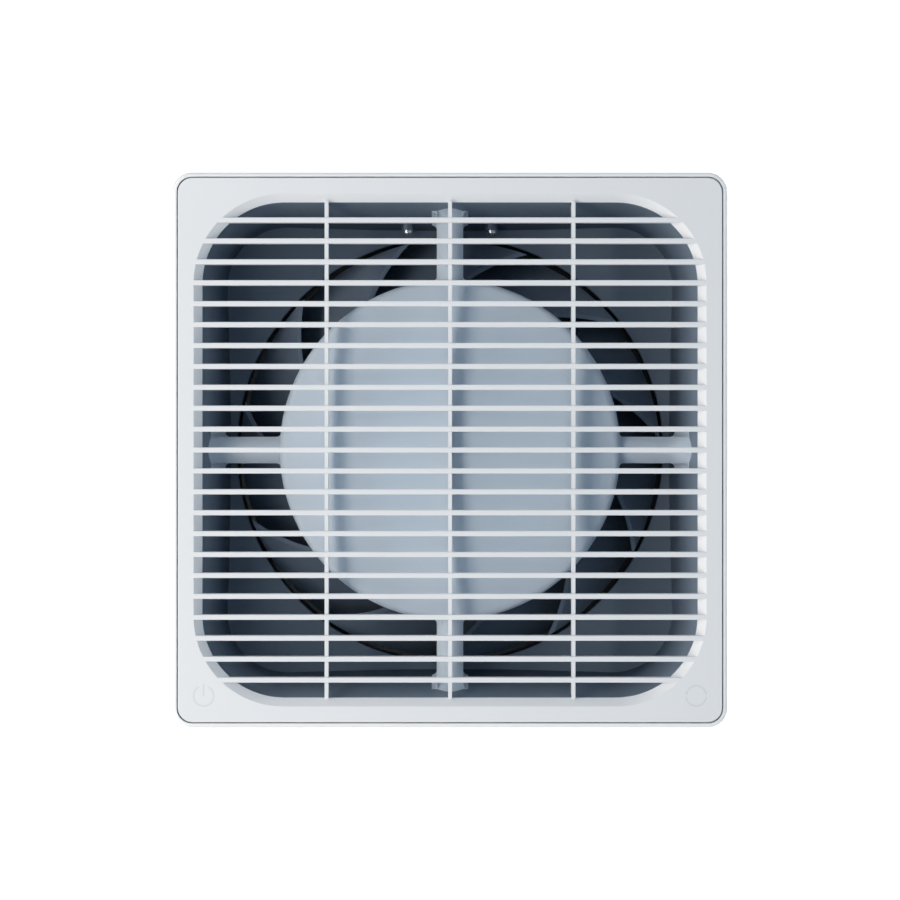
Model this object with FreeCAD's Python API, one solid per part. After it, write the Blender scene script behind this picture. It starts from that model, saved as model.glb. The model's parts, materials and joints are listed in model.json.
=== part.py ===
"""Compact box fan: a square casing with a slatted front, a tapered air duct and an axial fan.

Millimetres. Everything is built about the fan axis, with x to the right, y from the front face
towards the back and z up, and is moved at export so that the origin is the centre of the base.
"""

import FreeCAD, Part
import math
import os

V = FreeCAD.Vector

# Casing
HALF = 130.0
DEPTH = 120.0
CORNER_R = 9.0
WALL = 1.9
SHELL_END = 108.0
SHELL_BOSS_R = 4.0
SHELL_BOSS_FRONT = 88.0
SHELL_BOSS_END = 104.5
REVEAL = 0.6
FOOT_R = 7.0
FOOT_PROUD = 1.5
FOOT_SUNK = 1.0
FOOT_X = 108.0
FOOT_DEPTHS = (34.0, 100.0)
AXIS_HEIGHT = HALF + FOOT_PROUD

# Front grille
PANEL_HALF = 127.55
PANEL_R = 7.0
PANEL_BACK = 3.5
BEVEL_OUTER = 120.15
BEVEL_OUTER_R = 42.0
BEVEL_INNER = 116.3
BEVEL_INNER_R = 38.4
SLATS = 23
SLAT_PITCH = 9.797
SLAT_THICK = 2.45
SLAT_DEPTH = 5.0
SLAT_EDGE = 0.45
BAR_X = (-57.9, 0.0, 57.9)
BAR_THICK = 1.8
BAR_FRONT = 0.9
BAR_BACK = 8.2
BAR_BACK_HALF = 115.0
BAR_ROOT = 2.9
BAR_ROOT_HALF = 117.2
LEDGE_HALF = 125.6
LEDGE_THICK = 2.0
HOOK_AT = 85.0
HOOK_LENGTH = 12.0

# Touch symbols
SYMBOL_X = 115.4
SYMBOL_Z = -115.2
SYMBOL_R = 5.1
SYMBOL_LINE = 0.75
SYMBOL_SUNK = 0.4
TOUCH_BOARD = 15.0
TOUCH_BOARD_FRONT = 8.0
TOUCH_BOARD_THICK = 1.2
SPRING_R = 3.8
SPRING_WIRE_R = 0.3

# Air duct
GASKET_THICK = 1.0
DUCT_WALL = 1.8
DUCT_FRONT = PANEL_BACK + GASKET_THICK
DUCT_FRONT_HALF = 117.2
DUCT_FRONT_R = 39.3
DUCT_TAPER_END = 46.0
DUCT_END_HALF = 105.2
DUCT_END_R = 28.0
FLANGE_HALF = 123.2
FLANGE_R = 45.0
FLANGE_THICK = 2.0
THROAT_R = 103.1
THROAT_LIP = 0.3
BULKHEAD_CENTRE_DEPTH = 43.5
BULKHEAD_RISE = 7.5
BULKHEAD_OUT_R = 150.0
SHROUD_BACK = 88.0
SHROUD_FLANGE_R = 113.0
SHROUD_FLANGE_FRONT = 48.0
SHROUD_BOSS_R = 109.0
DUCT_SCREW_X = 20.2
DUCT_SCREW_DEPTH = 36.0
DUCT_SCREW_SEAT_Z = 105.7
DUCT_BOSS_Z = 111.4

# Motor bracket
DISC_R = 81.0
DISC_FRONT = 8.6
DISC_DOME_R = 420.0
DISC_EDGE_R = 4.0
DISC_BACK = 40.0
DISC_WALL = 2.2
ARM_WIDTH = 12.6
ARM_FRONT = 20.5
ARM_CROWN = 3.6
ARM_FOOT_R = 12.0
ARM_FOOT_REACH = 0.98
ARM_FOOT_CROWN = 1.4
ARM_FOOT_DEPTH = 17.4
ARM_BACK = 36.0
ARM_WALL = 2.0
ARM_CHANNEL_END = 102.0
ARM_FILLET = 2.4
ARM_SCREW_DEPTH = 26.5
ARM_SCREW_SEAT = 114.4

# Motor
SHAFT_R = 2.5
SHAFT_PLAY = 0.03
BEARING_R = 6.5
BEARING_WIDTH = 4.0
TUBE_R = 8.5
TUBE_FRONT = 22.0
TUBE_BACK = 66.0
STATOR_R = 28.0
STATOR_FRONT = 52.0
STATOR_BACK = 64.0
TEETH = 9
AIR_GAP = 0.5
CUP_R = 33.0
CUP_WALL = 1.5
CUP_FRONT = 48.0
CUP_BACK = 74.0
BOARD_R = 31.0
BOARD_FRONT = 43.0
BOARD_THICK = 1.6
BOARD_SCREW_R = 26.0
ROTOR_SCREW_R = 20.0

# Impeller
BLADES = 11
BLADE_START = 4.0
TIP_R = 101.7
HUB_R = 62.0
HUB_WALL = 2.5
HUB_FRONT = 43.5
HUB_BACK = 80.0
BLADE_FRONT = 45.2
BLADE_BACK = 77.0
BLADE_THICK = 1.3
BLADE_RUN_IN = -0.06
BLADE_SWEEP = 0.81
BLADE_CAMBER = 0.16
BLADE_WRAP_TIP = 40.0
BLADE_WRAP_HUB = 46.0

# Back
COVER_PLATE = 3.5
COVER_EDGE = 4.0
INLET_R = 104.5
GUARD_R = 114.0
GUARD_THICK = 2.0
GUARD_HUB_R = 22.0
GUARD_PITCH = 8.0
GUARD_BAR = 1.6
GUARD_RIBS = 16
GUARD_SCREW_R = 110.3
COVER_SCREW_AT = 118.0

# Power inlet, a two-pin figure-of-eight socket
SOCKET_X = 98.0
SOCKET_Z = -110.0
SOCKET_LOBE = 4.3
SOCKET_LOBE_R = 4.2
SOCKET_DEEP = 13.0
SOCKET_PIN_R = 1.2
SOCKET_PIN_LONG = 9.5
SOCKET_BODY = (22.0, 13.0)
SOCKET_FACE = (25.0, 16.0)

# Leads and boards behind the duct
LEAD_DEPTH = 31.5
PCB_Z = -123.5
PCB_THICK = 1.6
CONTROL_BOARD = (-104.0, -44.0, 54.0, 86.0)
POWER_BOARD = (40.0, 104.0, 52.0, 86.0)


def quarter_turn(x, z, quarter):
    """The point (x, z) turned by quarter right angles about the fan axis."""
    for _ in range(quarter):
        x, z = -z, x
    return x, z


def rounded_square(half, radius, depth):
    """Closed wire of a rounded square about the fan axis, in the plane at depth."""
    flat = half - radius
    mid = flat + radius * math.sqrt(0.5)
    edges = []
    for quarter in range(4):
        corners = [(half, -flat), (half, flat), (mid, mid), (flat, half)]
        a, b, c, d = [V(x, depth, z) for x, z in (quarter_turn(*p, quarter) for p in corners)]
        edges.append(Part.LineSegment(a, b).toShape())
        edges.append(Part.Arc(b, c, d).toShape())
    return Part.Wire(edges)


def square_prism(half, radius, front, back):
    return Part.Face(rounded_square(half, radius, front)).extrude(V(0, back - front, 0))


def along_duct(depth, at_front, at_end):
    return at_front + (at_end - at_front) * (depth - DUCT_FRONT) / (DUCT_TAPER_END - DUCT_FRONT)


def duct_half(depth):
    """Distance from the fan axis to the inside of the duct's wall."""
    return along_duct(depth, DUCT_FRONT_HALF, DUCT_END_HALF)


def square_taper(front, back, grow=0.0):
    """The duct's tapered inside between two depths, grown outwards by grow."""
    wires = []
    for depth in (front, back):
        radius = along_duct(depth, DUCT_FRONT_R, DUCT_END_R)
        wires.append(rounded_square(duct_half(depth) + grow, radius + grow, depth))
    return Part.makeLoft(wires, True, True)


def cylinder(radius, front, back, x=0.0, z=0.0):
    return Part.makeCylinder(radius, back - front, V(x, front, z), V(0, 1, 0))


def ring(outer, inner, front, back, x=0.0, z=0.0):
    return cylinder(outer, front, back, x, z).cut(cylinder(inner, front - 1, back + 1, x, z))


def box(x0, x1, y0, y1, z0, z1):
    return Part.makeBox(x1 - x0, y1 - y0, z1 - z0, V(x0, y0, z0))


def turned(points):
    """Solid of revolution about the fan axis of a polygon of (radius, depth) points."""
    wire = Part.makePolygon([V(r, y, 0) for r, y in points + points[:1]])
    return Part.Face(wire).revolve(V(0, 0, 0), V(0, 1, 0), 360)


def about_axis(shape, degrees):
    """A copy turned anticlockwise as seen from the front."""
    copy = shape.copy()
    copy.rotate(V(0, 0, 0), V(0, -1, 0), degrees)
    return copy


def fused(shapes):
    return shapes[0].multiFuse(shapes[1:]).removeSplitter()


def group(shapes):
    return Part.makeCompound(shapes)


def edges_at_depth(shape, depth):
    return [e for e in shape.Edges if abs(e.BoundBox.YMin - depth) + abs(e.BoundBox.YMax - depth) < 1e-4]


def screw(head_r, head_high, shank_r, shank_long):
    """Pan-head screw with a cross recess, its head's seat at the origin and its shank along +y."""
    head = cylinder(head_r, -head_high, 0)
    head = head.makeFillet(0.55 * head_high, edges_at_depth(head, -head_high))
    arm, half_slot = 0.55 * head_r, 0.14 * head_r
    slot = box(-arm, arm, -head_high - 1, -0.45 * head_high, -half_slot, half_slot)
    cross = slot.fuse(about_axis(slot, 90))
    return head.fuse(cylinder(shank_r, 0, shank_long)).cut(cross).removeSplitter()


def aimed(shape, position, direction):
    """A copy whose +y points along direction, moved to position."""
    copy = shape.copy()
    turn = FreeCAD.Rotation(V(0, 1, 0), V(*direction))
    copy.Placement = FreeCAD.Placement(V(*position), turn).multiply(copy.Placement)
    return copy


def lead(points, radius):
    """Round cable along straight runs joined by tangent arcs as large as the runs allow."""
    points = [V(*p) for p in points]
    edges, start, bends = [], points[0], []
    for before, corner, after in zip(points, points[1:], points[2:]):
        inward, outward = before - corner, after - corner
        reach = 0.45 * min(inward.Length, outward.Length)
        inward.normalize()
        outward.normalize()
        half_angle = inward.getAngle(outward) / 2
        bend = reach * math.tan(half_angle)
        middle = inward + outward
        middle.normalize()
        centre = corner + middle * (reach / math.cos(half_angle))
        first, last = corner + inward * reach, corner + outward * reach
        edges.append(Part.LineSegment(start, first).toShape())
        edges.append(Part.Arc(first, centre - middle * bend, last).toShape())
        start = last
        bends.append(round(bend, 1))
    edges.append(Part.LineSegment(start, points[-1]).toShape())
    path = Part.Wire(edges)
    profile = Part.Wire([Part.Circle(points[0], points[1] - points[0], radius).toShape()])
    tube = path.makePipeShell([profile], True, True)
    ideal = math.pi * radius ** 2 * path.Length
    print("lead bends", bends, "volume against ideal", round(tube.Volume / ideal, 3))
    return tube


# Casing

def shell_boss_positions():
    return [(x, z) for x in (-COVER_SCREW_AT, COVER_SCREW_AT) for z in (-COVER_SCREW_AT, COVER_SCREW_AT)]


def feet_positions():
    return [(x, y) for x in (-FOOT_X, FOOT_X) for y in FOOT_DEPTHS]


def outer_shell():
    outside = square_prism(HALF, CORNER_R, 0, SHELL_END)
    outside = outside.makeFillet(1.4, edges_at_depth(outside, 0))
    inner_half, inner_r = HALF - WALL, CORNER_R - WALL
    shell = outside.cut(square_prism(inner_half, inner_r, -1, SHELL_END + 1))
    ledge = square_prism(inner_half + 0.5, inner_r + 0.5, PANEL_BACK, PANEL_BACK + LEDGE_THICK)
    ledge = ledge.cut(square_prism(LEDGE_HALF, inner_r - 2.5, 0, 10))
    added = [ledge]
    for x, z in shell_boss_positions():
        added.append(cylinder(SHELL_BOSS_R, SHELL_BOSS_FRONT, SHELL_BOSS_END, x, z))
        wall_x = math.copysign(inner_half + 0.5, x)
        wall_z = math.copysign(inner_half + 0.5, z)
        added.append(box(min(x, wall_x), max(x, wall_x), SHELL_BOSS_FRONT + 2, SHELL_BOSS_END, z - 1, z + 1))
        added.append(box(x - 1, x + 1, SHELL_BOSS_FRONT + 2, SHELL_BOSS_END, min(z, wall_z), max(z, wall_z)))
    for x in (-DUCT_SCREW_X, DUCT_SCREW_X):
        boss = cylinder(3.6, 0, inner_half + 0.5 - DUCT_BOSS_Z)
        added.append(aimed(boss, (x, DUCT_SCREW_DEPTH, DUCT_BOSS_Z), (0, 0, 1)))
    shell = fused([shell] + added)
    holes = [cylinder(1.25, SHELL_BOSS_FRONT + 2, SHELL_END, x, z) for x, z in shell_boss_positions()]
    for x in (-DUCT_SCREW_X, DUCT_SCREW_X):
        holes.append(aimed(cylinder(1.25, 0, 10), (x, DUCT_SCREW_DEPTH, DUCT_BOSS_Z - 1), (0, 0, 1)))
    for x, y in feet_positions():
        holes.append(aimed(cylinder(FOOT_R + 0.05, 0, FOOT_SUNK + 1), (x, y, -HALF - 1), (0, 0, 1)))
    return shell.cut(group(holes))


def feet():
    pads = []
    for x, y in feet_positions():
        pad = cylinder(FOOT_R, 0, FOOT_PROUD + FOOT_SUNK)
        pad = pad.makeFillet(0.6, edges_at_depth(pad, 0))
        pads.append(aimed(pad, (x, y, -HALF - FOOT_PROUD), (0, 0, 1)))
    return group(pads)


# Front grille

def slat_profile(x, z):
    """Closed wire of a slat's section, its two front edges rounded."""
    top, r, back = SLAT_THICK / 2, SLAT_EDGE, SLAT_DEPTH
    diagonal = r * (1 - math.sqrt(0.5))

    def point(y, height):
        return V(x, y, z + height)

    return Part.Wire([
        Part.LineSegment(point(back, top), point(r, top)).toShape(),
        Part.Arc(point(r, top), point(diagonal, top - diagonal), point(0, top - r)).toShape(),
        Part.LineSegment(point(0, top - r), point(0, r - top)).toShape(),
        Part.Arc(point(0, r - top), point(diagonal, diagonal - top), point(r, -top)).toShape(),
        Part.LineSegment(point(r, -top), point(back, -top)).toShape(),
        Part.LineSegment(point(back, -top), point(back, top)).toShape(),
    ])


def grille_hooks():
    """Two snap hooks a side, which close behind the casing's ledge."""
    hooks = []
    inner, outer, barb = 123.7, 125.2, 126.8
    start, behind, end = PANEL_BACK - 0.5, PANEL_BACK + LEDGE_THICK + 0.3, 8.4
    for quarter in range(4):
        for middle in (-HOOK_AT, HOOK_AT):
            z0, z1 = middle - HOOK_LENGTH / 2, middle + HOOK_LENGTH / 2
            hook = box(inner, outer, start, end, z0, z1).fuse(box(inner, barb, behind, end, z0, z1))
            hooks.append(about_axis(hook, 90 * quarter))
    return hooks


def touch_posts(side):
    """Two posts that hold a touch board, as (x, z) places."""
    return [(side * 121.2, SYMBOL_Z + 5.6), (side * (SYMBOL_X - 5.6), -121.2)]


def grille_screw_positions():
    return [quarter_turn(121.2, z, q) for q in range(4) for z in (-45.0, 45.0)]


def front_grille():
    plate = square_prism(PANEL_HALF, PANEL_R, 0, PANEL_BACK)
    plate = plate.makeFillet(0.3, edges_at_depth(plate, 0))
    bevel = Part.makeLoft([
        rounded_square(BEVEL_OUTER, BEVEL_OUTER_R, 0),
        rounded_square(BEVEL_INNER, BEVEL_INNER_R, PANEL_BACK),
    ], True, True)
    plate = plate.cut(bevel)
    solids = [plate]
    front_outline = square_prism(BEVEL_OUTER + 0.4, BEVEL_OUTER_R + 0.4, 0, PANEL_BACK)
    back_outline = square_prism(BEVEL_INNER - 0.1, BEVEL_INNER_R - 0.1, PANEL_BACK, SLAT_DEPTH + 1)
    outline = front_outline.fuse(back_outline)
    bar_outline = group([
        square_prism(BEVEL_INNER - 0.1, BEVEL_INNER_R - 0.1, BAR_FRONT, BAR_ROOT),
        square_prism(BAR_ROOT_HALF, BEVEL_INNER_R + 0.9, BAR_ROOT, PANEL_BACK),
        square_prism(BAR_BACK_HALF, BEVEL_INNER_R - 1.3, PANEL_BACK, BAR_BACK),
    ])
    for number in range(SLATS):
        z = (number - SLATS // 2) * SLAT_PITCH
        slat = Part.Face(slat_profile(-HALF, z)).extrude(V(2 * HALF, 0, 0))
        solids.append(slat.common(outline))
    for x in BAR_X:
        bar = box(x - BAR_THICK / 2, x + BAR_THICK / 2, BAR_FRONT, BAR_BACK, -HALF, HALF)
        solids.append(fused([bar.common(part) for part in bar_outline.Solids]))
    for side in (-1, 1):
        for x, z in touch_posts(side):
            solids.append(cylinder(1.4, PANEL_BACK - 0.5, TOUCH_BOARD_FRONT, x, z))
    grille = fused(solids + grille_hooks())
    cuts = [power_symbol(), mode_symbol()]
    cuts += [cylinder(1.0, 1.2, PANEL_BACK + 1, x, z) for x, z in grille_screw_positions()]
    return grille.cut(group(cuts))


def arc_band(x, z, first, last):
    """Part of a symbol's ring between two angles in degrees, anticlockwise from +x."""
    inner, outer, sunk = SYMBOL_R - SYMBOL_LINE, SYMBOL_R, SYMBOL_SUNK
    corners = [(inner, 0), (outer, 0), (outer, sunk), (inner, sunk), (inner, 0)]
    section = Part.Face(Part.makePolygon([V(r, y, 0) for r, y in corners]))
    band = about_axis(section.revolve(V(0, 0, 0), V(0, -1, 0), last - first), first)
    return band.translated(V(x, 0, z))


def power_symbol():
    """Open ring with an upright stroke."""
    x, z = -SYMBOL_X, SYMBOL_Z
    half = SYMBOL_LINE / 2
    stroke = box(x - half, x + half, 0, SYMBOL_SUNK, z, z + 5.7)
    return group([arc_band(x, z, 117, 423), stroke])


def mode_symbol():
    """Ring in two halves with small gaps at the sides."""
    return group([arc_band(SYMBOL_X, SYMBOL_Z, 8, 172), arc_band(SYMBOL_X, SYMBOL_Z, 188, 352)])


def touch_board(side):
    half = TOUCH_BOARD / 2
    back = TOUCH_BOARD_FRONT + TOUCH_BOARD_THICK
    x, z = side * SYMBOL_X, SYMBOL_Z
    board = box(x - half, x + half, TOUCH_BOARD_FRONT, back, z - half, z + half)
    chip = box(x - 2.4, x + 2.4, back, back + 1.2, z - 1.8, z + 1.8)
    return board.fuse(chip)


def touch_springs():
    """One coil spring behind each symbol, between the panel and its touch board."""
    travel = TOUCH_BOARD_FRONT - PANEL_BACK - 2 * SPRING_WIRE_R - 0.1
    helix = Part.makeHelix(travel / 3.5, travel, SPRING_R)
    profile = Part.Wire([Part.Circle(V(SPRING_R, 0, 0), V(0, 1, 0), SPRING_WIRE_R).toShape()])
    coil = Part.Wire(helix).makePipeShell([profile], True, True)
    coil.rotate(V(0, 0, 0), V(1, 0, 0), -90)
    front = PANEL_BACK + SPRING_WIRE_R + 0.05
    return group([coil.translated(V(side * SYMBOL_X, front, SYMBOL_Z)) for side in (-1, 1)])


def grille_screws():
    """Eight screws that draw the duct's flange and gasket against the panel."""
    seat = DUCT_FRONT + FLANGE_THICK
    one = screw(1.7, 1.2, 0.95, seat - 1.4)
    return group([aimed(one, (x, seat, z), (0, -1, 0)) for x, z in grille_screw_positions()])


# Air duct

def duct_gasket():
    front, back = PANEL_BACK, DUCT_FRONT
    frame = square_prism(FLANGE_HALF, FLANGE_R, front, back)
    frame = frame.cut(square_prism(DUCT_FRONT_HALF + 0.6, DUCT_FRONT_R + 0.6, front - 1, back + 1))
    holes = [cylinder(1.2, front - 1, back + 1, x, z) for x, z in grille_screw_positions()]
    return frame.cut(group(holes))


def bulkhead():
    """Shallow cone round the throat, deeper towards the fan axis, as thick as the duct's wall."""
    outer, depth = BULKHEAD_OUT_R, BULKHEAD_CENTRE_DEPTH
    front = depth - BULKHEAD_RISE
    return turned([
        (THROAT_R, depth + THROAT_LIP),
        (THROAT_R + THROAT_LIP, depth),
        (outer, front),
        (outer, front + DUCT_WALL),
        (THROAT_R, depth + DUCT_WALL),
    ])


def diagonal_places(radius):
    reach = radius * math.sqrt(0.5)
    return [quarter_turn(reach, reach, q) for q in range(4)]


def bulkhead_depth(radius):
    """Depth of the bulkhead's front face at a distance from the fan axis."""
    slope = BULKHEAD_RISE / (BULKHEAD_OUT_R - THROAT_R - THROAT_LIP)
    return BULKHEAD_CENTRE_DEPTH - slope * (radius - THROAT_R - THROAT_LIP)


def air_duct():
    funnel = square_taper(DUCT_FRONT, DUCT_TAPER_END, DUCT_WALL)
    funnel = funnel.cut(square_taper(DUCT_FRONT - 1, DUCT_TAPER_END + 1))
    reach = turned([
        (0, BULKHEAD_CENTRE_DEPTH + DUCT_WALL),
        (THROAT_R, BULKHEAD_CENTRE_DEPTH + DUCT_WALL),
        (BULKHEAD_OUT_R, BULKHEAD_CENTRE_DEPTH + DUCT_WALL - BULKHEAD_RISE),
        (200, BULKHEAD_CENTRE_DEPTH + DUCT_WALL - BULKHEAD_RISE),
        (200, 0),
        (0, 0),
    ])
    funnel = funnel.common(reach)
    plate = bulkhead().common(square_taper(DUCT_FRONT, DUCT_TAPER_END, 0.5 * DUCT_WALL))
    flange = square_prism(FLANGE_HALF, FLANGE_R, DUCT_FRONT, DUCT_FRONT + FLANGE_THICK)
    flange = flange.cut(square_taper(DUCT_FRONT - 1, DUCT_TAPER_END, 0.5 * DUCT_WALL))
    solids = [funnel, plate, flange]
    for x, z in diagonal_places(SHROUD_BOSS_R):
        front = bulkhead_depth(SHROUD_BOSS_R) + 0.5
        solids.append(cylinder(3.0, front, SHROUD_FLANGE_FRONT, x, z))
    for x in (-DUCT_SCREW_X, DUCT_SCREW_X):
        pad = cylinder(3.2, 0, DUCT_BOSS_Z - 0.2 - DUCT_SCREW_SEAT_Z)
        solids.append(aimed(pad, (x, DUCT_SCREW_DEPTH, DUCT_SCREW_SEAT_Z), (0, 0, 1)))
    arm_pad = arm_screw_hole(3.4, 106.0, ARM_SCREW_SEAT).cut(square_taper(DUCT_FRONT, DUCT_TAPER_END, 0.5))
    solids += [about_axis(arm_pad, 90 * quarter) for quarter in range(4)]
    duct = fused(solids)
    cuts = [cylinder(1.2, 3, 8, x, z) for x, z in grille_screw_positions()]
    cuts += [cylinder(1.1, bulkhead_depth(SHROUD_BOSS_R) + 2.2, 50, x, z)
             for x, z in diagonal_places(SHROUD_BOSS_R)]
    for x in (-DUCT_SCREW_X, DUCT_SCREW_X):
        cuts.append(aimed(cylinder(1.5, 0, 8), (x, DUCT_SCREW_DEPTH, DUCT_SCREW_SEAT_Z - 2), (0, 0, 1)))
    for quarter in range(4):
        cuts.append(about_axis(arm_screw_hole(1.3), 90 * quarter))
    cuts.append(lead_hole(3.4))
    return duct.cut(group(cuts))


def duct_screws():
    """The pair beside the top arm, up through the duct's roof into the casing."""
    one = screw(2.4, 1.9, 1.2, 12)
    return group([aimed(one, (x, DUCT_SCREW_DEPTH, DUCT_SCREW_SEAT_Z), (0, 0, 1))
                  for x in (-DUCT_SCREW_X, DUCT_SCREW_X)])


def fan_shroud():
    outer = THROAT_R + DUCT_WALL
    front = BULKHEAD_CENTRE_DEPTH + DUCT_WALL + 0.2
    wall = ring(outer, THROAT_R, front, SHROUD_BACK)
    flange = ring(SHROUD_FLANGE_R, THROAT_R + 0.5, SHROUD_FLANGE_FRONT, SHROUD_FLANGE_FRONT + 2)
    holes = [cylinder(1.5, 45, 55, x, z) for x, z in diagonal_places(SHROUD_BOSS_R)]
    return fused([wall, flange]).cut(group(holes))


def shroud_screws():
    one = screw(2.6, 1.8, 1.05, 4.8)
    seat = SHROUD_FLANGE_FRONT + 2
    return group([aimed(one, (x, seat, z), (0, -1, 0)) for x, z in diagonal_places(SHROUD_BOSS_R)])


def inlet_ring():
    """Bell-mouth from the back cover's inlet to the shroud."""
    return turned([
        (THROAT_R, SHROUD_BACK + 0.3),
        (THROAT_R + DUCT_WALL + 0.2, SHROUD_BACK + 0.3),
        (THROAT_R + DUCT_WALL + 0.2, SHROUD_BACK - 4),
        (THROAT_R + DUCT_WALL + 1.6, SHROUD_BACK - 4),
        (THROAT_R + DUCT_WALL + 1.6, 108),
        (INLET_R + 2.1, DEPTH - COVER_PLATE),
        (INLET_R + 0.3, DEPTH - COVER_PLATE),
        (THROAT_R + 0.6, 106),
    ])


# Motor bracket

def arm_screw_hole(radius, start=104.0, end=116.0):
    """Round prism along the right arm's screw, which goes through the duct's wall into the arm."""
    return aimed(cylinder(radius, 0, end - start), (start, ARM_SCREW_DEPTH, 0), (1, 0, 0))


def lead_hole(radius):
    """Way of the motor's lead out of the bowl, along the bottom arm and through the duct's wall."""
    return aimed(cylinder(radius, 0, 60), (-0.2, LEAD_DEPTH + 0.5, -60), (0, 0, -1))


def disc_profile(inset):
    """Face of the bowl's half section, inset by a wall thickness: a dome with a tangent rounded edge."""
    front, edge = DISC_FRONT + inset, DISC_EDGE_R - 0.6 * inset
    outer = DISC_R - inset
    tilt = math.asin((outer - edge) / (DISC_DOME_R - edge))
    centre = front + DISC_DOME_R - (DISC_DOME_R - edge) * math.cos(tilt)

    def on_dome(angle):
        return V(DISC_DOME_R * math.sin(angle), front + DISC_DOME_R * (1 - math.cos(angle)), 0)

    def on_edge(angle):
        return V(outer - edge + edge * math.sin(angle), centre - edge * math.cos(angle), 0)

    back = DISC_BACK + 2 * inset
    return Part.Face(Part.Wire([
        Part.Arc(on_dome(0), on_dome(tilt / 2), on_dome(tilt)).toShape(),
        Part.Arc(on_dome(tilt), on_edge((tilt + math.pi / 2) / 2), on_edge(math.pi / 2)).toShape(),
        Part.LineSegment(on_edge(math.pi / 2), V(outer, back, 0)).toShape(),
        Part.LineSegment(V(outer, back, 0), V(0, back, 0)).toShape(),
        Part.LineSegment(V(0, back, 0), V(0, front, 0)).toShape(),
    ]))


def arm_crest():
    """(x, depth, crown) along the right arm: straight, then swept forwards to the duct's wall and flatter."""
    lean = math.atan2(DUCT_FRONT_HALF - DUCT_END_HALF, DUCT_TAPER_END - DUCT_FRONT)
    centre_depth = ARM_FRONT - ARM_FOOT_R
    centre_x = duct_half(centre_depth) - ARM_FOOT_REACH * ARM_FOOT_R / math.cos(lean)
    start = DISC_R - 5
    sections = [(start + (centre_x - start) * n / 5, ARM_FRONT, ARM_CROWN) for n in range(5)]
    for n in range(9):
        angle = (math.pi / 2 - lean) * n / 8
        x = centre_x + ARM_FOOT_R * math.sin(angle)
        depth = centre_depth + ARM_FOOT_R * math.cos(angle)
        sections.append((x, depth, ARM_CROWN + (ARM_FOOT_CROWN - ARM_CROWN) * n / 8))
    return sections


def arm():
    """Right arm: a crowned channel open at the back, rounded into the bowl and the duct's wall."""
    half = ARM_WIDTH / 2
    front = Part.BSplineSurface()
    front.interpolate([
        [V(x, depth + crown * across ** 2, half * across) for across in (-1.2, -0.8, -0.4, 0, 0.4, 0.8, 1.2)]
        for x, depth, crown in arm_crest()])
    solid = front.toShape().extrude(V(0, ARM_BACK, 0))
    solid = solid.common(box(DISC_R - 4, HALF, 0, ARM_BACK, -half, half))
    solid = solid.common(square_taper(DUCT_FRONT, DUCT_TAPER_END))
    inner, shoulder = half - ARM_WALL, ARM_FRONT + ARM_CROWN
    solid = solid.cut(box(DISC_R - 6, ARM_CHANNEL_END, shoulder, ARM_BACK + 1, -inner, inner))
    for corner in (rim_corner(), wall_corner()):
        solid = solid.fuse(corner).fuse(corner.mirror(V(0, 0, 0), V(0, 0, 1)))
    return solid


def rim_corner():
    """Concave corner between the right arm's upper side and the bowl's rim."""
    z = ARM_WIDTH / 2 + ARM_FILLET
    x = math.sqrt((DISC_R + ARM_FILLET) ** 2 - z ** 2)
    front = ARM_FRONT + ARM_CROWN + 0.2
    corner = box(DISC_R - 2, x, front, ARM_BACK, ARM_WIDTH / 2 - 0.3, z)
    return corner.cut(cylinder(ARM_FILLET, front - 1, ARM_BACK + 1, x, z))


def wall_corner():
    """Concave corner between the right arm's upper side and the duct's sloping wall."""
    root, near, r = ARM_WIDTH / 2 - 0.3, ARM_WIDTH / 2, ARM_FILLET
    inset = r * (1 - math.sqrt(0.5))
    wires = []
    for depth in (ARM_FOOT_DEPTH, ARM_BACK):
        wall = duct_half(depth)
        low, high = V(wall - r, depth, near), V(wall, depth, near + r)
        bend = Part.Arc(low, V(wall - inset, depth, near + inset), high)
        sides = Part.makePolygon([high, V(wall, depth, root), V(wall - r, depth, root), low])
        wires.append(Part.Wire([bend.toShape(), sides]))
    return Part.makeLoft(wires, True, True)


def motor_bracket():
    axis = (V(0, 0, 0), V(0, 1, 0))
    bowl = disc_profile(0).revolve(*axis, 360)
    hollow = disc_profile(DISC_WALL).revolve(*axis, 360)
    body = bowl
    for quarter in range(4):
        body = body.fuse(about_axis(arm(), 90 * quarter))
    body = body.cut(hollow)
    boss = ring(TUBE_R + 4.5, TUBE_R, TUBE_FRONT, TUBE_FRONT + 12)
    boss = boss.fuse(cylinder(TUBE_R + 4.5, DISC_FRONT + 1.5, TUBE_FRONT))
    web = box(TUBE_R + 3.5, DISC_R - 1, DISC_FRONT + 2.5, 28, -0.9, 0.9).common(bowl)
    webs = [about_axis(web, 45 + 90 * quarter) for quarter in range(4)]
    posts = [cylinder(2.6, DISC_FRONT + 1.5, BOARD_FRONT, x, z) for x, z in diagonal_places(BOARD_SCREW_R)]
    posts = [p.common(bowl.fuse(cylinder(60, 30, BOARD_FRONT))) for p in posts]
    body = fused([body, boss] + webs + posts)
    cuts = [cylinder(1.0, BOARD_FRONT - 7, BOARD_FRONT + 1, x, z) for x, z in diagonal_places(BOARD_SCREW_R)]
    for quarter in range(4):
        cuts.append(about_axis(arm_screw_hole(1.0), 90 * quarter))
    cuts.append(lead_hole(2.9))
    cuts.append(cylinder(BEARING_R - 1, DISC_FRONT + 3, TUBE_FRONT + 1))
    return body.cut(group(cuts))


def arm_screws():
    """One screw at each arm's end, from outside the duct."""
    one = screw(2.4, 1.6, 0.95, 9.5)
    right = aimed(one, (ARM_SCREW_SEAT, ARM_SCREW_DEPTH, 0), (-1, 0, 0))
    return group([about_axis(right, 90 * quarter) for quarter in range(4)])


# Motor

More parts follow.
